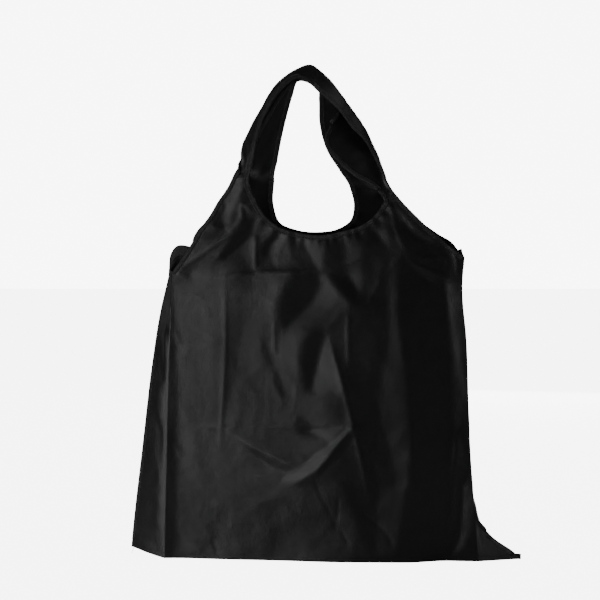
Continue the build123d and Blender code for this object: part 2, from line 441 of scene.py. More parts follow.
# Facets of the panels: (how steeply the cloth comes forward to the right, softness of the edge, outline)
FRONT_FACETS = [
    # left part
    (-0.12, 6, [(-195, 335), (-182, 335), (-178, 250), (-179, 120), (-184, 8), (-195, 8)]),
    (0.05, 5, [(-176, 336), (-122, 340), (-119, 290), (-121, 215), (-124, 168), (-176, 168)]),
    (-0.03, 6, [(-120, 343), (-100, 345), (-92, 310), (-100, 270), (-106, 225), (-118, 186), (-122, 215),
        (-119, 290)]),
    (0.0, 16, [(-100, 345), (-84, 345), (-80, 310), (-96, 290)]),
    (0.07, 16, [(-82, 350), (-55, 340), (-58, 300), (-52, 260), (-84, 250)]),
    (-0.04, 6, [(-76, 276), (-68, 258), (-62, 244), (-64, 234), (-74, 252)]),
    (-0.08, 3, [(-62, 244), (-56, 226), (-48, 200), (-55, 204), (-61, 222)]),
    (0.12, 20, [(-176, 160), (-126, 160), (-60, 120), (-20, 90), (-10, 20), (-176, 10)]),
    # hollows that hang below the middle of the neckline
    (-0.22, 18, [(-34, 352), (-8, 352), (-5, 336), (-14, 316), (-24, 303), (-36, 294), (-48, 282),
        (-54, 296), (-56, 316), (-48, 338)]),
    (0.08, 8, [(-48, 281), (-30, 296), (-14, 314), (-3, 336), (0, 300), (-3, 284), (-20, 284)]),
    (-0.19, 17, [(-6, 284), (1, 278), (-3, 262), (-10, 240), (-17, 212), (-21, 209), (-27, 224), (-29, 244),
        (-26, 266), (-16, 282)]),
    (0.07, 8, [(-4, 350), (1, 348), (12, 332), (28, 318), (30, 304), (4, 300), (-2, 322)]),
    (-0.26, 13, [(1, 350), (20, 353), (32, 340), (42, 324), (49, 312), (38, 309), (26, 320), (12, 334)]),
    (0.06, 8, [(22, 360), (28, 392), (42, 394), (46, 360), (52, 330), (50, 315), (42, 326), (32, 342)]),
    # the long diagonal: bright on its left, dark on its right
    (0.17, 3, [(4, 278), (-2, 263), (-9, 238), (-15, 210), (-6, 204), (10, 208), (24, 195), (17, 225)]),
    (-0.03, 4, [(4, 282), (20, 304), (28, 300), (28, 240), (18, 228)]),
    (-0.09, 3, [(18, 228), (28, 190), (43, 128), (57, 64), (64, 80), (60, 120), (64, 160), (62, 200),
        (52, 240), (30, 240)]),
    (-0.03, 5, [(14, 188), (20, 208), (25, 196), (22, 176), (15, 180)]),
    # right part: a shallow trough, a long light swell and the deep shade beyond it
    (-0.07, 14, [(50, 345), (76, 345), (76, 260), (64, 215), (54, 230), (30, 300)]),
    (0.06, 7, [(77, 370), (88, 370), (86, 330), (90, 290), (97, 245), (102, 200), (104, 150), (100, 100),
        (88, 40), (74, 6), (62, 6), (78, 50), (84, 100), (80, 130), (68, 165), (66, 200), (75, 255),
        (77, 300)]),
    (-0.24, 16, [(94, 364), (112, 355), (144, 344), (146, 300), (149, 240), (151, 180), (154, 140),
        (151, 60), (140, 50), (124, 100), (108, 130), (104, 170), (102, 215), (94, 262), (90, 310)]),
    (-0.08, 10, [(104, 90), (124, 90), (140, 40), (142, 0), (80, 0), (92, 50)]),
    (-0.06, 4, [(116, 12), (119, 40), (127, 54), (132, 34), (130, 10)]),
    (0.14, 5, [(143, 342), (150, 345), (158, 290), (166, 240), (172, 200), (166, 200), (158, 240),
        (150, 290)]),
    (-0.42, 3, [(161, 166), (155, 100), (151, 30), (148, 6), (160, 28), (164, 60), (165, 96), (174, 112),
        (173, 128)]),
    (0.22, 5, [(166, 97), (176, 96), (181, 62), (178, 40), (168, 18), (152, 6), (162, 28), (164, 60)]),
    # the pressed V low on the panel
    (0.28, 4, [(-124, 163), (-104, 152), (-84, 139), (-58, 128), (-38, 118), (-14, 112), (-26, 108),
        (-44, 108), (-62, 116), (-90, 134), (-112, 150)]),
    (0.30, 2.5, [(-54, 101), (-42, 108), (-26, 108), (-14, 111), (-28, 102), (-39, 94)]),
    (0.34, 2.5, [(-30, 114), (-18, 128), (0, 139), (14, 154), (29, 167), (31, 162), (14, 145), (2, 129),
        (-8, 116), (-14, 112)]),
    (-0.26, 2.5, [(-8, 114), (2, 126), (14, 142), (30, 160), (32, 154), (22, 138), (10, 126), (-2, 114),
        (-8, 106)]),
    (0.28, 2.5, [(-22, 161), (28, 168), (14, 157), (4, 150), (-10, 156)]),
    (-0.06, 3, [(-38, 166), (-32, 178), (-20, 172), (-14, 164), (-28, 157)]),
    (-0.12, 4, [(19, 102), (34, 98), (36, 80), (42, 62), (38, 54), (31, 70), (25, 88)]),
    (0.15, 14, [(-50, 96), (10, 98), (30, 62), (44, 34), (60, 4), (-60, 4)]),
    (0.14, 10, [(64, 90), (96, 96), (86, 10), (60, 10)]),
    # left shoulder
    (0.0, 10, [(-178, 350), (-84, 350), (-84, 400), (-100, 408), (-120, 402), (-146, 396)]),
    (-0.30, 5, [(-127, 366), (-126, 372), (-116, 385), (-104, 398), (-96, 412), (-84, 414), (-88, 400),
        (-98, 386), (-110, 376), (-120, 366)]),
    (0.09, 6, [(-107, 464), (-103, 466), (-112, 440), (-120, 412), (-126, 430), (-117, 448)]),
    (0.28, 3, [(-99, 462), (-103, 466), (-112, 440), (-119, 412), (-117, 408), (-108, 430), (-100, 446)]),
    (-0.13, 5, [(-134, 410), (-124, 412), (-116, 402), (-118, 398), (-134, 392), (-146, 392), (-146, 396),
        (-128, 400)]),
    (-0.18, 4, [(-76, 376), (-72, 366), (-67, 378), (-64, 386), (-54, 394), (-60, 394), (-70, 390),
        (-74, 384)]),
    (0.15, 4, [(-62, 384), (-52, 394), (-43, 396), (-40, 374), (-44, 358), (-60, 356), (-63, 368)]),
    (0.0, 4, [(-41, 388), (-30, 390), (-20, 376), (-12, 360), (-28, 356), (-40, 368)]),
    (0.19, 3, [(-27, 388), (-6, 388), (-3, 352), (-12, 358), (-20, 376)]),
    (-0.08, 6, [(2, 390), (20, 390), (24, 360), (18, 355), (2, 355)]),
    (-0.03, 4, [(-113, 346), (-108, 368), (-102, 374), (-94, 366), (-84, 346)]),
    (-0.10, 4, [(-176, 350), (-160, 354), (-161, 341)]),
    # right shoulder
    (0.14, 4, [(58, 402), (74, 404), (78, 376), (72, 384)]),
    (-0.07, 5, [(46, 398), (58, 400), (72, 382), (76, 372), (60, 368), (46, 372)]),
    (-0.32, 3, [(92, 412), (100, 400), (112, 392), (118, 382), (116, 368), (108, 364), (102, 372),
        (97, 392)]),
    (0.09, 4, [(86, 436), (92, 432), (108, 412), (134, 394), (126, 388), (106, 394), (94, 410)]),
    (-0.11, 3, [(100, 372), (114, 368), (128, 362), (140, 350), (124, 356), (108, 362)]),
    (0.05, 3, [(96, 370), (110, 358), (143, 346), (142, 342), (128, 336), (112, 350)]),
]
BACK_FACETS = [
    (0.30, 6, [(28, 396), (88, 396), (84, 450), (30, 456)]),
    (0.24, 6, [(-108, 472), (-60, 468), (-52, 404), (-90, 400)]),
    (0.12, 4, [(-168, 340), (-118, 344), (-116, 250), (-122, 150), (-172, 150)]),
    (-0.10, 4, [(-116, 344), (-84, 348), (-92, 290), (-104, 220), (-122, 170), (-116, 250)]),
    (-0.20, 9, [(-10, 352), (18, 354), (26, 330), (40, 300), (30, 276), (14, 292), (-4, 320)]),
    (0.16, 7, [(-14, 350), (-4, 320), (14, 292), (0, 262), (-22, 290), (-26, 330)]),
    (0.14, 4, [(-30, 262), (-8, 240), (18, 206), (44, 150), (10, 166), (-26, 200)]),
    (-0.13, 4, [(-8, 246), (24, 246), (52, 200), (70, 120), (60, 90), (44, 150), (18, 206)]),
    (0.10, 8, [(72, 366), (88, 368), (92, 300), (108, 220), (104, 120), (80, 10), (60, 10), (82, 120),
        (78, 230)]),
    (-0.15, 9, [(96, 360), (136, 350), (146, 240), (150, 120), (140, 20), (100, 10), (110, 120),
        (110, 220)]),
    (0.16, 3, [(-96, 150), (-60, 132), (-20, 120), (-12, 112), (-50, 112), (-84, 130)]),
    (-0.14, 3, [(-20, 120), (12, 144), (40, 152), (46, 142), (14, 126), (-12, 112)]),
    (-0.22, 5, [(-122, 362), (-112, 384), (-92, 410), (-80, 408), (-92, 384), (-110, 366)]),
    (0.22, 4, [(-100, 462), (-112, 438), (-120, 408), (-112, 412), (-100, 440)]),
    (0.15, 4, [(52, 400), (72, 404), (78, 372), (66, 376)]),
    (-0.24, 4, [(92, 410), (112, 392), (116, 366), (104, 370)]),
    (-0.12, 5, [(-76, 396), (-60, 398), (-56, 366), (-70, 362)]),
    (0.14, 4, [(-36, 390), (-14, 390), (-12, 356), (-26, 352)]),
]

# Sharp lines in the cloth, from packing and from small folds: (half width, height, path)
FRONT_LINES = [
    (2.2, 0.7, [(-165, 339), (-138, 340), (-125, 344), (-82, 349), (7, 355), (51, 368), (96, 371)]),
    (2.6, 1.1, [(96, 371), (106, 361), (118, 355), (143, 345)]),
    (1.8, 0.5, [(-178, 323), (-143, 322)]),
    (2.2, 0.6, [(-172, 163), (-128, 164), (-60, 166), (28, 167)]),
    (2.0, 0.7, [(-120, 343), (-119, 290), (-121, 215), (-124, 168), (-126, 126)]),
    (2.4, 0.8, [(2, 280), (18, 228), (28, 190), (43, 128), (57, 64)]),
    (2.0, 0.7, [(28, 306), (28, 238)]),
    (2.0, 0.6, [(-60, 296), (-60, 250)]),
    (1.8, -0.6, [(-14, 108), (-5, 85), (5, 65), (16, 38)]),
    (1.8, -0.7, [(17, 84), (15, 56), (12, 38)]),
    (2.0, -0.6, [(15, 50), (30, 22)]),
    (3.0, -0.7, [(40, 65), (60, 50), (75, 35), (85, 15)]),
    (1.8, 0.8, [(161, 168), (157, 130), (154, 100), (151, 56)]),
    (1.8, 0.8, [(161, 166), (169, 146), (174, 128)]),
    (1.8, 0.8, [(164, 118), (172, 110), (178, 106)]),
    (1.8, 0.5, [(120, 310), (131, 306)]),
    (1.8, 0.4, [(114, 250), (124, 271)]),
    (1.8, 0.4, [(126, 240), (143, 245)]),
    (1.8, 0.5, [(78, 357), (94, 370)]),
    (2.0, 0.5, [(52, 312), (60, 330), (72, 344)]),
    (1.8, 0.5, [(-181, 284), (-173, 262)]),
    (1.8, 0.5, [(-181, 146), (-173, 128)]),
    (2.2, 1.2, [(-83, 396), (-83, 352)]),
    (2.2, 0.8, [(-180, 350), (-150, 370), (-124, 388), (-102, 400)]),
    (2.2, 0.8, [(-132, 366), (-112, 380), (-92, 394), (-84, 398)]),
    (2.4, 1.2, [(-119, 407), (-114, 402), (-105, 406), (-99, 414), (-99, 424), (-103, 431)]),
    (2.2, 1.0, [(-103, 432), (-94, 430), (-87, 421)]),
    (2.2, -0.7, [(-122, 438), (-118, 428), (-128, 414)]),
    (2.0, 0.8, [(74, 440), (80, 424), (86, 400), (98, 374)]),
    (2.0, 0.8, [(80, 442), (90, 424), (106, 406), (134, 388), (150, 384)]),
    (2.2, 0.7, [(112, 378), (118, 366), (130, 368), (146, 366)]),
    (2.2, 0.7, [(122, 384), (136, 374), (146, 366), (142, 346)]),
    (2.0, 0.8, [(150, 384), (158, 366), (160, 346)]),
    (2.0, -0.6, [(-136, 30), (-132, 20), (-128, 8)]),
    (2.0, -0.4, [(-128, 60), (-124, 52), (-112, 46)]),
]
BACK_LINES = [
    (2.2, 0.7, [(-172, 344), (-60, 351), (60, 356), (166, 350)]),
    (2.2, 0.6, [(-178, 166), (0, 164), (176, 168)]),
    (2.0, 0.7, [(-116, 344), (-116, 250), (-122, 150), (-118, 20)]),
    (2.0, 0.7, [(118, 350), (120, 230), (118, 20)]),
    (2.2, 0.8, [(-30, 262), (-8, 243), (18, 206), (44, 150), (58, 92)]),
    (2.0, -0.6, [(-12, 110), (-20, 70), (-14, 30)]),
    (2.0, 0.6, [(-60, 300), (-72, 240), (-64, 190)]),
    (2.2, 0.9, [(-120, 398), (-104, 412), (-96, 436), (-96, 460)]),
    (2.2, 0.9, [(-160, 372), (-132, 388), (-104, 410)]),
    (2.2, 0.9, [(76, 440), (84, 408), (100, 374)]),
    (2.2, 0.8, [(152, 376), (126, 396), (98, 424)]),
]

# Plan of each panel, (across, how far it stands out from the creases at its sides)
FRONT_PLAN = [(-193, 0), (-179, -0.8), (-120, 3.0), (-60, 6.2), (19, 12.2), (50, 11.6), (77, 11),
              (102, 9.8), (148, -1.0), (168, 0.0), (187, 0)]
BACK_PLAN = [(-188, 0), (-150, 4), (-90, 8.5), (-30, 7), (40, 8.5), (100, 7), (160, 2), (188, 0)]
SHOULDER_LEVEL, NECK_LEVEL = 450.0, 330.0
SHOULDER_STAND = 4.0  # how far the panels stand out where the straps are sewn on
RELIEF_SPACING = 3.0
RELIEF_REACH = ((-200, 200), (-3, 480))  # across and up; a little past every edge of the panels
RISE_SHARE = 0.1  # how much less the cloth resists a slope up the panel than one across it
SAG = 11.0  # how far the rear left corner leans forward
SETTLED = 1e-6
LIGHT_HOLD, FIRM_HOLD = 2e-4, 2.0  # pull toward the panel's plan: everywhere, and along its sewn edges


def swell(x, z, plan):
    """How far the plan's curve stands out at each point; it changes to the shoulders' own level up there."""
    curve = through(plan, 3.0)
    share = smooth((SHOULDER_LEVEL - z) / (SHOULDER_LEVEL - NECK_LEVEL))
    stand = SHOULDER_STAND * (1 - share) * smooth((z - 345) / 60)
    return np.interp(x, curve[:, 0], curve[:, 1]) * share + stand


def settle(slope, level, hold, rounds=600):
    """Heights whose slopes across are nearest to those asked for, and which stay level where held."""

    def pull(h):
        across, up = np.diff(h, axis=1), np.diff(h, axis=0) * RISE_SHARE
        out = hold * h
        out[:, :-1] -= across
        out[:, 1:] += across
        out[:-1] -= up
        out[1:] += up
        return out

    want = (slope[:, 1:] + slope[:, :-1]) / 2 * RELIEF_SPACING
    right = hold * level
    right[:, :-1] -= want
    right[:, 1:] += want
    h = level.copy()
    rest = right - pull(h)
    way = rest.copy()
    size = (rest * rest).sum()
    for _ in range(rounds):
        pulled = pull(way)
        step = size / (way * pulled).sum()
        h += step * way
        rest -= step * pulled
        new_size = (rest * rest).sum()
        way = rest + way * new_size / size
        size = new_size
        if size < SETTLED:
            break
    return h


def panel_heights(plan, facets, held):
    """Grid of heights of a panel: its swell, with the facets pressed into it."""
    xs, zs = (np.arange(low, high + RELIEF_SPACING, RELIEF_SPACING) for low, high in RELIEF_REACH)
    gx, gz = np.meshgrid(xs, zs)
    p = np.column_stack([gx.ravel(), gz.ravel()])
    level = swell(p[:, 0], p[:, 1], plan).reshape(gx.shape)
    slope = np.gradient(level, RELIEF_SPACING, axis=1).ravel()
    for tilt, soft, outline in facets:
        loop = np.array(outline, float)
        depth = nearest(p, np.vstack([loop, loop[:1]]))[0] * np.where(inside(p, loop), 1, -1)
        share = smooth(depth / soft + 0.5)
        slope += (tilt - slope) * share
    hold = np.full(len(p), LIGHT_HOLD)
    for edge in held:
        hold[nearest(p, through(edge, 8.0))[0] < RELIEF_SPACING] = FIRM_HOLD
    return xs, zs, settle(slope.reshape(gx.shape), level, hold.reshape(gx.shape))


def on_grid(p, grid):
    """The grid's height at each point, between its nodes by a smooth cubic rule."""
    xs, zs, heights = grid
    u = np.clip((p[:, 0] - xs[0]) / RELIEF_SPACING, 1, len(xs) - 2.001)
    v = np.clip((p[:, 1] - zs[0]) / RELIEF_SPACING, 1, len(zs) - 2.001)
    i, j = u.astype(int), v.astype(int)
    i, j = np.minimum(i, len(xs) - 3), np.minimum(j, len(zs) - 3)
    out = np.zeros(len(p))
    for weight_v, dj in zip(cubic(v - j), (-1, 0, 1, 2)):
        for weight_u, di in zip(cubic(u - i), (-1, 0, 1, 2)):
            out += weight_v * weight_u * heights[j + dj, i + di]
    return out


def cubic(t):
    """Weights of four nodes in a row for a smooth curve through the middle two."""
    return (
        (-t + 2 * t**2 - t**3) / 2,
        (2 - 5 * t**2 + 3 * t**3) / 2,
        (t + 4 * t**2 - 3 * t**3) / 2,
        (-(t**2) + t**3) / 2,
    )


def puckers(p, edge, seed):
    """Short gathers that run down from a bound edge."""
    d, along = nearest(p, through(edge, 3.0))
    wave = np.array([noise.noise(Vector((a * 34, 0.3 * b / 10, seed))) for a, b in zip(along, d)])
    return 1.9 * wave * np.exp(-((d / 13) ** 2))


def panel_relief(p, lines, neck, seed):
    """The fine part of a panel's relief: pressed lines, gathers at the neck and small unevenness."""
    lift = pressed(p, lines) + puckers(p, neck, seed + 3)
    lift += ripple(p, 40, 0.45, seed, (1.0, 0.6))
    lift += ripple(p, 12, 0.09, seed + 5)
    lift += crumple(p, 34, 0.25, seed + 9)
    return lift


def sewn_fade(p, edges, reach=10.0):
    """0 on the creases and seams that other sheets meet, 1 away from them."""
    d = np.full(len(p), FAR)
    for edge in edges:
        d = np.minimum(d, nearest(p, through(edge, 8.0))[0])
    return smooth(d / reach)


def panel_surface(outline, plan, facets, lines, seed):
    """A function for how far a panel stands out at points (across, up)."""
    border = [outline[edge] for edge in ("left_crease", "right_crease", "foot")]
    heights = panel_heights(plan, facets, border + [outline["left_shoulder"], outline["right_shoulder"]])

    def stands_out(p):
        return on_grid(p, heights) + panel_relief(p, lines, outline["neck"], seed) * sewn_fade(p, border)

    return stands_out


front_surface = panel_surface(FRONT, FRONT_PLAN, FRONT_FACETS, FRONT_LINES, 1.7)
back_surface = panel_surface(BACK, BACK_PLAN, BACK_FACETS, BACK_LINES, 31.4)


def front_point(p):
    """Where the point (across, up) of the front panel is in space."""
    p = np.atleast_2d(p)
    return np.stack([p[:, 0], FRONT_Y - front_surface(p), p[:, 1]], axis=1)


def sag(x, z):
    """How far the rear left corner leans forward at its open top."""
    return -SAG * smooth((z - 310) / 60) * smooth((-105 - x) / 50) * smooth((450 - z) / 50)


def back_point(p):
    """Where the point (across, up) of the back panel is in space."""
    p = np.atleast_2d(p)
    return np.stack([p[:, 0], BACK_Y + back_surface(p) + sag(p[:, 0], p[:, 1]), p[:, 1]], axis=1)


def panel_sheet(name, outline, place):
    """A panel's cloth, inside its outline, and set in space by place."""
    loop = np.concatenate([through(outline[edge][::way])[:-1] for edge, way in ROUND])
    flat, faces = flat_mesh(loop, PANEL_SPACING)
    return link(name, place(flat), faces)


def edge_tape(name, edge, place, inward_sign, width=ARMHOLE_TAPE_WIDTH):
    """Tape along one bound edge of a panel."""
    flat = through(edge, 2.4)
    run = unit(np.gradient(flat, axis=0))
    inward = np.stack([-run[:, 1], run[:, 0]], axis=1) * inward_sign
    points = place(flat)
    inner = place(flat + inward * width)
    return tape(name, points, inner - points, width=width)


# ---- front and back


def panel_tapes(panel, outline, place):
    """The folded tapes of a panel's neckline and of its two armholes."""
    tapes = [edge_tape(f"{panel}_neck_tape", outline["neck"], place, 1, TAPE_WIDTH)]
    for edge in ("left_armhole", "right_armhole"):
        tapes.append(edge_tape(f"{panel}_{edge}_tape", outline[edge], place, -1))
    return tapes


front_cloth = panel_sheet("front_cloth", FRONT, front_point)
back_cloth = panel_sheet("back_cloth", BACK, back_point)
front_tapes = panel_tapes("front", FRONT, front_point)
back_tapes = panel_tapes("back", BACK, back_point)

# ---- sides: front crease, side seam, rear crease

LEFT_SEAM = [(-236, -11, 14), (-232, -12, 52), (-222, -16, 132), (-209, -21, 236), (-200, -14, 297),
             (-195, 12, 328), (-191, 34, 352)]
RIGHT_SEAM = [(236, -47, 6), (227, -46, 14), (206, -43, 28), (186, -37, 46), (176, -14, 92), (171, -2, 159),
              (167, 2, 268), (161, 4, 334), (168, 4, 377)]


def bend(start, corner, end, t):
    """Point on the arc that leaves start toward the corner and comes in to end from it."""
    return start * (1 - t) ** 2 + corner * 2 * t * (1 - t) + end * t**2


def side_rows(side, seam, turn, puff, seed, push=0.0, flare=0.0, rows=120, half=15):
    """Grid of points: each row runs from the front crease round the seam to the rear crease.

    The cloth goes on outward past a crease by turn, and forward by push, before it bends to the seam.
    It bulges by puff, and its open rear corner stands out at the top by flare.
    """
    front = front_point(through(FRONT[f"{side}_crease"], count=rows))
    middle = through(seam, count=rows)
    rear = back_point(through(BACK[f"{side}_crease"], count=rows))
    outward = np.sign(seam[0][0])
    grid = np.empty((rows, 2 * half + 1, 3))
    for r in range(rows):
        reach = outward * turn * (1 - 0.8 * (r / (rows - 1)) ** 4)
        spread = flare * (r / (rows - 1)) ** 8
        front_turn = front[r] + np.array([reach, -push, 0])
        rear_turn = rear[r] + np.array([reach, 0, 0]) + spread * np.array([outward, 0, 0.4])
        for c in range(2 * half + 1):
            if c <= half:
                t = c / half
                point = bend(front[r], front_turn, middle[r], t)
            else:
                t = c / half - 1
                point = bend(middle[r], rear_turn, rear[r], t)
            bulge = puff * noise.noise(Vector((r / 14, c / 9, seed)))
            fold = 0.9 * noise.noise(Vector((r / 5.5, c / 4.0, seed + 4)))
            grid[r, c] = point + np.array([outward * (bulge + fold) * math.sin(math.pi * t) ** 2, 0, 0])
    return grid


left_grid = side_rows("left", LEFT_SEAM, turn=5.0, puff=1.6, seed=2.0, push=0.6, flare=32.0)
right_grid = side_rows("right", RIGHT_SEAM, turn=2.0, puff=3.0, seed=7.0)


def even_row(row, count=70):
    """A row of the grid at evenly spaced columns."""
    return at_places(np.linspace(0, len(row) - 1, count), np.arange(len(row)), row)


def side_pieces(name, grid):
    """A side's cloth, the wide hem along its open top, and the seam allowance up its middle."""
    rows, columns = grid.shape[:2]
    half = columns // 2
    cloth = link(f"{name}_side_cloth", grid.reshape(-1, 3), grid_faces(rows, columns))
    top, below = (even_row(grid[row]) for row in (-1, -5))
    hem = tape(f"{name}_side_hem_tape", top, below - top, width=HEM_WIDTH, thickness=1.2, square=False)
    seam = grid[3:-3, half]
    allowance = tape(
        f"{name}_side_seam_tape", seam, grid[3:-3, half - 4] - seam, width=5.0, thickness=0.9, stitched=False
    )
    return cloth, hem, allowance


left_cloth, left_hem, left_seam_tape = side_pieces("left", left_grid)
right_cloth, right_hem, right_seam_tape = side_pieces("right", right_grid)

# ---- base

front_corners = [(x, FRONT_Y, z) for x, z in FRONT["foot"]]
back_corners = [(x, BACK_Y, z) for x, z in BACK["foot"][::-1]]
BASE_CORNERS = np.array([*front_corners, RIGHT_SEAM[0], *back_corners, LEFT_SEAM[0]], float)


def over_base(p):
    """Height of the base at points (x, y): mean-value weights of its six corners."""
    to_corner = BASE_CORNERS[None, :, :2] - p[:, None, :]
    distance = np.maximum(np.linalg.norm(to_corner, axis=2), 1e-6)
    to_next = np.roll(to_corner, -1, axis=1)
    cross = to_corner[..., 0] * to_next[..., 1] - to_corner[..., 1] * to_next[..., 0]
    dot = (to_corner * to_next).sum(2)
    half_tan = np.tan(np.arctan2(cross, dot) / 2)
    weights = (np.roll(half_tan, 1, axis=1) + half_tan) / distance
    return (weights * BASE_CORNERS[None, :, 2]).sum(1) / weights.sum(1)


swelling_edges = {0: (-1, FRONT_PLAN), 3: (1, BACK_PLAN)}  # those that the panels stand on
foot_edges = []
for i in range(6):
    edge = through([BASE_CORNERS[i, :2], BASE_CORNERS[(i + 1) % 6, :2]], 4.0)
    if i in swelling_edges:
        outward, plan = swelling_edges[i]
        edge[:, 1] += outward * swell(edge[:, 0], edge[:, 0] * 0, plan)
    foot_edges.append(edge[:-1])
base_loop = np.concatenate(foot_edges)
base_flat, base_faces = flat_mesh(base_loop, 5.0)
seam_line = np.array([BASE_CORNERS[5, :2], BASE_CORNERS[2, :2]])
base_inside = smooth(nearest(base_flat, np.vstack([base_loop, base_loop[:1]]))[0] / 12)
seam_ridge = 1.2 * np.exp(-nearest(base_flat, seam_line)[0] / 3)
base_height = over_base(base_flat) + base_inside * (2.0 + ripple(base_flat, 30, 1.0, 55) + seam_ridge)
base_cloth = link("base_cloth", np.column_stack([base_flat, np.maximum(base_height, 0.4)]), base_faces)
seam_3d = through([LEFT_SEAM[0], (-120, -10, 7), (0, 0, 5.5), (120, -12, 5), RIGHT_SEAM[0]], 3.0)
bottom_seam_tape = tape(
    "bottom_seam_tape", seam_3d, np.tile([0.0, 0.15, 1.0], (len(seam_3d), 1)), width=6.0, thickness=1.1
)

# ---- straps

# Stations along a strap: neck edge, fold or middle, outer edge
FRONT_STRAP = [
    [(-83, -41, 500), (-100, -38, 497), (-91, -30, 490)],
    [(-77, -33, 524), (-91, -31, 520), (-80, -22, 512)],
    [(-67, -26, 548), (-78, -25, 544), (-67, -14, 536)],
    [(-49, -19, 573), (-58, -18, 577), (-48, -7, 566)],
    [(-31, -14, 584), (-33, -11, 596), (-29, -3, 582)],
    [(-19, -11, 580), (-18, -8, 601), (-19, -7, 579)],
    [(-5, -7, 574), (2, -6, 588), (-7, -12, 568)],
    [(12, -7, 557), (17, -9, 571), (4, -18, 558)],
    [(20, -16, 541), (32, -14, 549), (16, -26, 546)],
    [(6, -24, 524), (47, -23, 527), (33, -35, 523)],
    [(0, -29, 505), (57, -31, 506), (48, -40, 507)],
    [(13, -35, 486), (64, -38, 490), (59, -44, 487)],
    [(36, -40, 465), (70, -40, 470), (73, -46, 460)],
]
FRONT_STRAP_ENDS = (
    ([(-88.5, 471), (-99.6, 469), (-109, 465)], [(-88, 473), (-99, 471), (-108, 467)]),
    ([(61, 450), (72, 448), (82, 446)], [(62.5, 448), (73.5, 446), (83.5, 444)]),
)
BACK_STRAP = [
    [(-58, 40, 487), (-78, 37, 488), (-95, 33, 492)],
    [(-53, 33, 513), (-70, 29, 514), (-85, 25, 516)],
    [(-46, 27, 542), (-60, 23, 543), (-72, 18, 545)],
    [(-39, 21, 566), (-49, 18, 568), (-58, 13, 570)],
    [(-32, 16, 584), (-37, 14, 588), (-42, 9, 590)],
    [(-22, 12, 588), (-21, 12, 592), (-20, 8, 594)],
    [(-8, 13, 580), (-3, 13, 583), (2, 10, 585)],
    [(-6, 18, 560), (6, 20, 560), (17, 20, 560)],
    [(-5, 24, 532), (14, 29, 535), (33, 33, 538)],
    [(4, 30, 500), (28, 36, 503), (51, 40, 508)],
    [(20, 38, 475), (42, 42, 477), (64, 44, 479)],
]
BACK_STRAP_ENDS = (
    ([(-61.7, 462), (-85.5, 465), (-108, 468)], [(-62, 464), (-85, 467), (-107, 470)]),
    ([(33, 454), (57, 451), (81, 448)], [(33.5, 452), (58, 449), (82.5, 446)]),
)
LAP_STAND = 0.7  # the strap lies on the panel's outer face where it is sewn


def sewn_on(stations, ends, place, outward):
    """The stations, with two rows more at each end, which lie on the panel where the strap is sewn."""
    rows = [place(np.array(row, float)) + [0, outward * LAP_STAND, 0] for end in ends for row in end]
    return rows[:2] + [np.array(row, float) for row in stations] + rows[2:]


def strap_grid(stations, seed, length=150, across=21):
    """Smooth ribbon through the stations, with gathers that run along it."""
    rails = [through([s[k] for s in stations], count=length) for k in range(3)]
    grid = np.array([through([rail[i] for rail in rails], count=across) for i in range(length)])
    run = unit(np.gradient(grid, axis=0))
    side = unit(np.gradient(grid, axis=1))
    normal = np.cross(run, side)
    for i in range(length):
        for j in range(across):
            v = j / (across - 1)
            hold = math.sin(math.pi * v) * smooth(i / 6) * smooth((length - 1 - i) / 6)
            gather = 0.9 * noise.noise(Vector((i / 16, v * 3.6, seed)))
            cross_fold = 0.5 * noise.noise(Vector((i / 5, v * 1.6, seed + 3)))
            grid[i, j] += normal[i, j] * hold * (gather + cross_fold)
    return grid


def strap_pieces(name, stations, seed):
    """A strap's cloth, and the folded tapes along its two edges."""
    grid = strap_grid(stations, seed)
    rows, columns = grid.shape[:2]
    cloth = link(f"{name}_strap_cloth", grid.reshape(-1, 3), grid_faces(rows, columns))
    tapes = []
    for label, edge, inner in (("inner", grid[:, 0], grid[:, 3]), ("outer", grid[:, -1], grid[:, -4])):
        points = through(edge, 2.4)
        steps = np.linspace(0, rows - 1, len(points))
        toward, near = (at_places(steps, np.arange(rows), line) for line in (inner, edge))
        tapes.append(tape(f"{name}_strap_{label}_tape", points, toward - near))
    return cloth, tapes


front_strap_cloth, front_strap_tapes = strap_pieces(
    "front", sewn_on(FRONT_STRAP, FRONT_STRAP_ENDS, front_point, -1), 12.0
)
back_strap_cloth, back_strap_tapes = strap_pieces(
    "back", sewn_on(BACK_STRAP, BACK_STRAP_ENDS, back_point, 1), 19.0
)

# ---- stow pocket, inside the back

pocket_low, pocket_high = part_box("stow_pocket")
POCKET_LEFT, POCKET_RIGHT = pocket_low.x / MM, pocket_high.x / MM
POCKET_FOOT, POCKET_TOP = pocket_low.z / MM, pocket_high.z / MM
POCKET_MOUTH = [(POCKET_RIGHT, POCKET_TOP), (0, POCKET_TOP - 3), (POCKET_LEFT, POCKET_TOP)]
rounding = ((0, 6), (2, 1), (7, 0))  # the corners' points, (inward, up) from the sharp corner
left_corner = [(POCKET_LEFT + x, POCKET_FOOT + z) for x, z in rounding]
right_corner = [(POCKET_RIGHT - x, POCKET_FOOT + z) for x, z in rounding[::-1]]
pocket_edges = [
    left_corner,
    [left_corner[-1], right_corner[0]],
    right_corner,
    [right_corner[-1], POCKET_MOUTH[0]],
    POCKET_MOUTH,
    [POCKET_MOUTH[-1], left_corner[0]],
]
pocket_loop = np.concatenate([through(e)[:-1] for e in pocket_edges])


def pocket_point(p):
    """The pocket lies on the back panel's inner face and stands off it a little toward its mouth."""
    p = np.atleast_2d(p)
    behind = back_point(p)
    off = 1.2 + 3.0 * smooth((p[:, 1] - POCKET_FOOT) / 130) * np.clip(1 - (p[:, 0] / POCKET_RIGHT) ** 2, 0, 1)
    behind[:, 1] -= off + 0.4 * smooth(ripple(p, 12, 1.0, 71))
    return behind


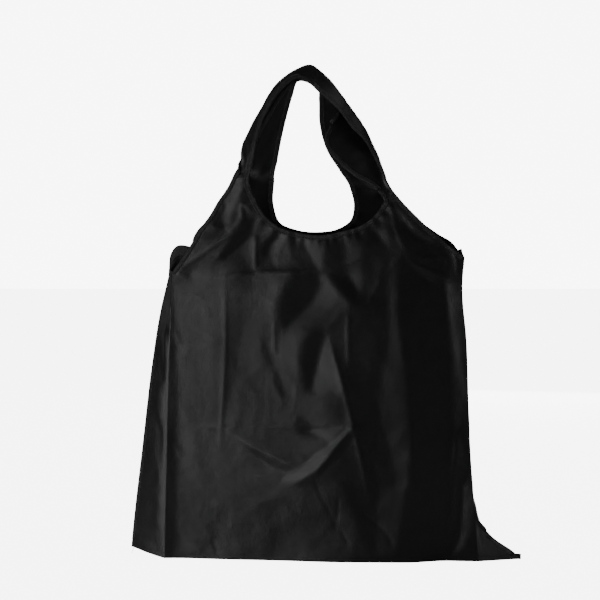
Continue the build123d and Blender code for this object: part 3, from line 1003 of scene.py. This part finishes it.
pocket_flat, pocket_faces = flat_mesh(pocket_loop)
pocket_cloth = link("stow_pocket_cloth", pocket_point(pocket_flat), pocket_faces)
pocket_tape = edge_tape("stow_pocket_tape", POCKET_MOUTH, pocket_point, 1, TAPE_WIDTH)

# ---- bodies and replaced nodes

SHEETS = [front_cloth, back_cloth, left_cloth, right_cloth, base_cloth, front_strap_cloth, back_strap_cloth,
          pocket_cloth]
for sheet in SHEETS:
    sheet.data.materials.append(CLOTH)
    thicken(sheet)

# Each body's cloths and tapes
RIDERS = {
    "front": ([front_cloth], front_tapes),
    "back": ([back_cloth, pocket_cloth], back_tapes + [pocket_tape]),
    "front_handle": ([front_strap_cloth], front_strap_tapes),
    "back_handle": ([back_strap_cloth], back_strap_tapes),
}
for body, (cloths, tapes) in RIDERS.items():
    for piece in cloths + tapes:
        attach(piece, body)

FRONT_ANCHOR = (0, FRONT_Y * MM, 0)
BACK_ANCHOR = (0, BACK_Y * MM, 0)
SIDES = {
    "left": (left_cloth, left_hem, left_seam_tape),
    "right": (right_cloth, right_hem, right_seam_tape),
}
for piece in [*SIDES["left"], *SIDES["right"], base_cloth, bottom_seam_tape]:
    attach(piece, "front")
    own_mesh(piece)
STRAPS = {
    "front": (front_strap_cloth, front_strap_tapes, FRONT_ANCHOR),
    "back": (back_strap_cloth, back_strap_tapes, BACK_ANCHOR),
}
for cloth, tapes, anchor in STRAPS.values():
    for piece in [cloth] + tapes:
        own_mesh(piece)

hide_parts("front_panel", "right_corner_fold")
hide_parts("back_panel", "left_corner_fold")
for side, (cloth, hem, allowance) in SIDES.items():
    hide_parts(f"{side}_side_front", f"{side}_side_rear")
    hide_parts(f"{side}_side_front_hem", f"{side}_side_rear_hem")
    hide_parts(f"{side}_side_seam")
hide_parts("base_front", "base_rear")
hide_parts("bottom_seam")
for panel, tapes in (("front", front_tapes), ("back", back_tapes)):
    for piece, edge in zip(tapes, ("neck", "left_armhole", "right_armhole")):
        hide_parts(f"{panel}_{edge}_binding")
for name, (cloth, tapes, _) in STRAPS.items():
    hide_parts(f"{name}_strap")
    for piece, edge in zip(tapes, ("inner", "outer")):
        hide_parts(f"{name}_strap_{edge}_binding")
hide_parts("stow_pocket")
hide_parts("stow_pocket_binding")

# ---- floor, light and camera


def camera_only(tree, strength):
    """A glow that only the camera sees: the surroundings are pale, and don't light the black cloth."""
    seen = add_node(tree, "LightPath", {}).outputs["Is Camera Ray"]
    return maths(tree, "MULTIPLY", seen, strength)


def stage_material():
    mat, tree, shader, place, _ = material("pale_floor")
    tone = mix(tree, (0.58, 0.58, 0.58, 1), (0.61, 0.61, 0.61, 1), soft_noise(tree, place, 3))
    glow = {"Emission Color": (1, 1, 1, 1), "Emission Strength": camera_only(tree, FLOOR_GLOW)}
    feed(tree, shader, {"Base Color": tone, "Roughness": 0.9, **glow})
    return mat


BACKDROP_GLOW = 8.0
FLOOR_GLOW = 6.5
ROOM_LIGHT = 0.045  # dim light from all round, which the cloth does get
FLOOR_REACH = 9000
floor_corners = [(x * FLOOR_REACH, y * FLOOR_REACH, 0) for x, y in ((-1, -1), (1, -1), (1, 1), (-1, 1))]
floor = link("floor", floor_corners, [(0, 1, 2, 3)])
floor.data.materials.append(stage_material())

world = bpy.data.worlds.new("studio")
bpy.context.scene.world = world
world.use_nodes = True
sky = world.node_tree
sky_strength = maths(sky, "ADD", camera_only(sky, BACKDROP_GLOW), ROOM_LIGHT)
feed(sky, sky.nodes["Background"], {"Color": (1, 1, 1, 1), "Strength": sky_strength})


def softbox(name, place, size, power):
    """A soft light that looks at the bag's middle."""
    light = bpy.data.lights.new(name, "AREA")
    light.shape = "RECTANGLE"
    light.size, light.size_y = size
    light.energy = power
    obj = bpy.data.objects.new(name, light)
    bpy.context.collection.objects.link(obj)
    obj.location = place
    obj.rotation_euler = (Vector(CENTRE) - Vector(place)).to_track_quat("-Z", "Y").to_euler()


CENTRE = (0, 0, 0.28)
softbox("key", (-1.35, -1.5, 0.28), (0.7, 0.55), 17)
softbox("top", (0, 0, 2.2), (1.6, 1.2), 7)
softbox("left rim", (-1.5, 0.9, 0.7), (0.6, 1.4), 1.2)
softbox("right", (2.0, 0.1, 0.6), (0.7, 1.2), 5)
softbox("rear", (0.5, 2.0, 0.4), (0.9, 0.7), 12)
softbox("fill", (1.7, -1.2, 0.6), (1.0, 1.0), 0.8)

VIEW_DISTANCE = 1.9  # from the camera to just behind the front panel
VIEW_PLANE = -0.025
VIEW_WIDTH = 0.7246  # seen across at that distance
VIEW_CENTRE = (-0.0296, VIEW_PLANE, 0.3164)
VIEW_ELEVATION = math.radians(2.5)
SENSOR_WIDTH = 36
camera_data = bpy.data.cameras.new("camera")
camera_data.sensor_width = SENSOR_WIDTH
camera_data.lens = SENSOR_WIDTH * VIEW_DISTANCE / VIEW_WIDTH
camera = bpy.data.objects.new("camera", camera_data)
bpy.context.collection.objects.link(camera)
camera.location = (
    VIEW_CENTRE[0],
    VIEW_CENTRE[1] - VIEW_DISTANCE * math.cos(VIEW_ELEVATION),
    VIEW_CENTRE[2] + VIEW_DISTANCE * math.sin(VIEW_ELEVATION),
)
camera.rotation_euler = (math.radians(90) - VIEW_ELEVATION, 0, 0)
bpy.context.scene.camera = camera
